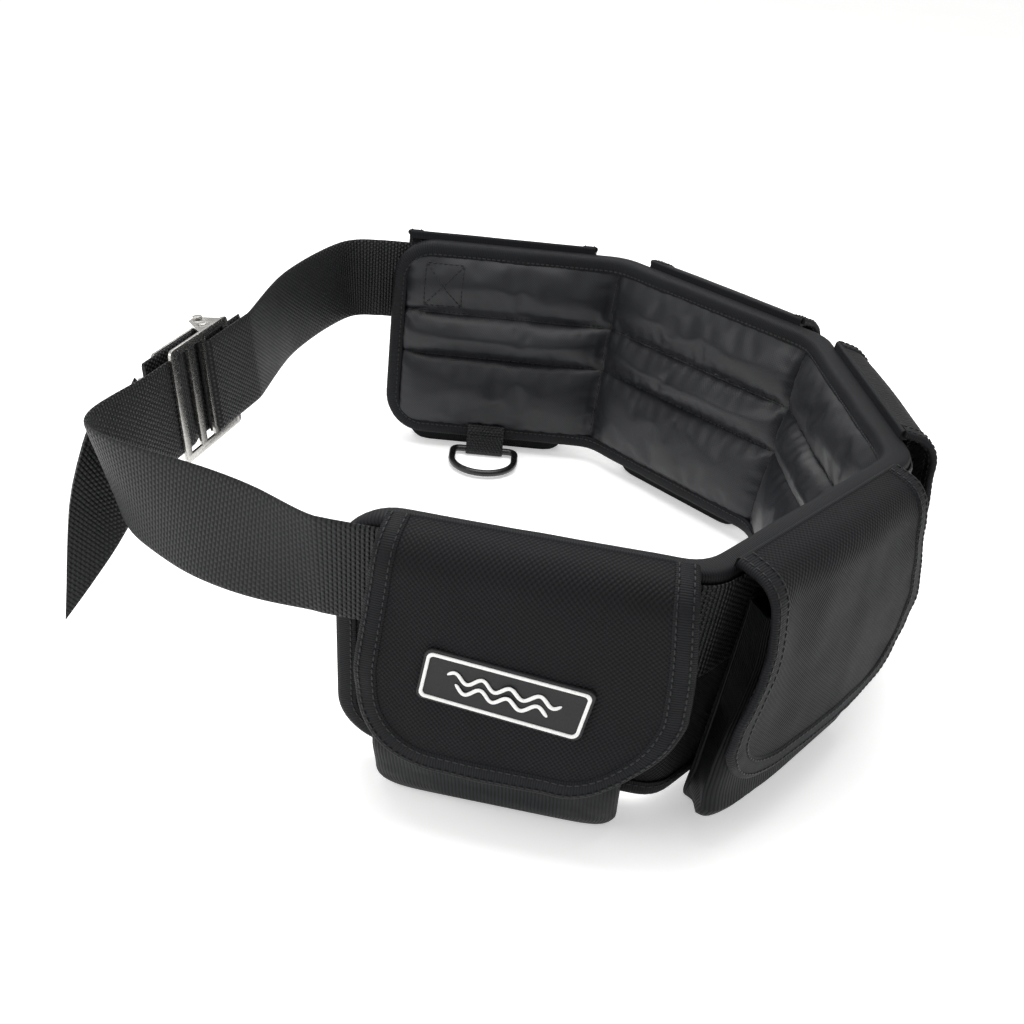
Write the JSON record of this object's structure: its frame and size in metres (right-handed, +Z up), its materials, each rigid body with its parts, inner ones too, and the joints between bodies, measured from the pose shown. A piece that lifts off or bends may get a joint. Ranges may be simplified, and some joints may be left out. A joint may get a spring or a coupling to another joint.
{
  "type": "dive weight belt",
  "caption": "Padded dive weight belt with flapped weight pockets on webbing, a stainless lever buckle and a D-ring, closed in a loop.",
  "frame": {"origin": "middle of the closed belt's footprint on the floor under the pocket bottoms", "axes": "+Z up, -Y towards the front segment that carries the badge, +X towards the middle segment, the buckle on the -X side"},
  "size_m": [0.4156, 0.4512, 0.1423],
  "materials": {
    "ballistic_nylon": "matte woven nylon, flaps and shell",
    "lining_satin": "smooth satin nylon",
    "webbing": "ribbed polypropylene webbing",
    "binding_tape": "flat woven binding tape",
    "pocket_cloth": "ribbed pocket cloth",
    "foam": "closed-cell foam",
    "hook_tape": "hook tape",
    "loop_tape": "loop tape",
    "stainless": "satin stainless steel",
    "ring_black": "black coated wire",
    "badge_rubber": "moulded soft PVC",
    "badge_white": "raised white soft PVC"
  },
  "bodies": {
    "belt": {"anchor_bar": "stainless", "back_shell": "ballistic_nylon", "belt_webbing": "webbing", "buckle_frame": "stainless", "edge_binding": "binding_tape", "foam_pad_1": "foam", "foam_pad_2": "foam", "foam_pad_3": "foam", "foam_pad_4": "foam", "foam_pad_5": "foam", "lever_pin": "stainless", "lining": "lining_satin", "loop_tape_1": "loop_tape", "loop_tape_2": "loop_tape", "loop_tape_3": "loop_tape", "loop_tape_4": "loop_tape", "loop_tape_5": "loop_tape", "pocket_back_1": "pocket_cloth", "pocket_back_2": "pocket_cloth", "pocket_back_3": "pocket_cloth", "pocket_back_4": "pocket_cloth", "pocket_back_5": "pocket_cloth", "pocket_front_1": "pocket_cloth", "pocket_front_2": "pocket_cloth", "pocket_front_3": "pocket_cloth", "pocket_front_4": "pocket_cloth", "pocket_front_5": "pocket_cloth", "pocket_gusset_1": "pocket_cloth", "pocket_gusset_2": "pocket_cloth", "pocket_gusset_3": "pocket_cloth", "pocket_gusset_4": "pocket_cloth", "pocket_gusset_5": "pocket_cloth", "ring_keeper": "webbing"},
    "flap_body_1": {"flap_1": "ballistic_nylon", "flap_binding_1": "binding_tape", "hook_tape_1": "hook_tape", "badge": "badge_rubber", "badge_border": "badge_white"},
    "flap_body_2": {"flap_2": "ballistic_nylon", "flap_binding_2": "binding_tape", "hook_tape_2": "hook_tape"},
    "flap_body_3": {"flap_3": "ballistic_nylon", "flap_binding_3": "binding_tape", "hook_tape_3": "hook_tape"},
    "flap_body_4": {"flap_4": "ballistic_nylon", "flap_binding_4": "binding_tape", "hook_tape_4": "hook_tape"},
    "flap_body_5": {"flap_5": "ballistic_nylon", "flap_binding_5": "binding_tape", "hook_tape_5": "hook_tape"},
    "lever": {"buckle_lever": "stainless"},
    "ring": {"d_ring": "ring_black"},
    "tail": {"belt_tail": "webbing"}
  },
  "joints": [
    {"name": "flap_1_hinge", "type": "hinge", "parent": "belt", "child": "flap_body_1", "pos_m": [-0.00325, -0.19407, 0.1403], "axis": [-0.9877, 0.1564, 0], "range_deg": [0, 140]},
    {"name": "flap_2_hinge", "type": "hinge", "parent": "belt", "child": "flap_body_2", "pos_m": [0.138, -0.13914, 0.1403], "axis": [-0.6225, -0.7826, 0], "range_deg": [0, 140]},
    {"name": "flap_3_hinge", "type": "hinge", "parent": "belt", "child": "flap_body_3", "pos_m": [0.18134, 0.00715, 0.1403], "axis": [0.0958, -0.9954, 0], "range_deg": [0, 140]},
    {"name": "flap_4_hinge", "type": "hinge", "parent": "belt", "child": "flap_body_4", "pos_m": [0.11761, 0.14539, 0.1403], "axis": [0.6947, -0.7193, 0], "range_deg": [0, 140]},
    {"name": "flap_5_hinge", "type": "hinge", "parent": "belt", "child": "flap_body_5", "pos_m": [-0.02314, 0.20441, 0.1403], "axis": [1, 0.0087, 0], "range_deg": [0, 140]},
    {"name": "lever_hinge", "type": "hinge", "parent": "belt", "child": "lever", "pos_m": [-0.17501, 0.02049, 0.10602], "axis": [0.1356, -0.0313, -0.9903], "range_deg": [0, 100]},
    {"name": "ring_hinge", "type": "hinge", "parent": "belt", "child": "ring", "pos_m": [-0.02284, 0.16951, 0.00385], "axis": [-1, -0.0087, 0], "range_deg": [0, 78]},
    {"name": "tail_bend", "type": "hinge", "parent": "belt", "child": "tail", "pos_m": [-0.18632, -0.04479, 0.10653], "axis": [0.1356, -0.0313, -0.9903], "range_deg": [-4, 55]}
  ]
}
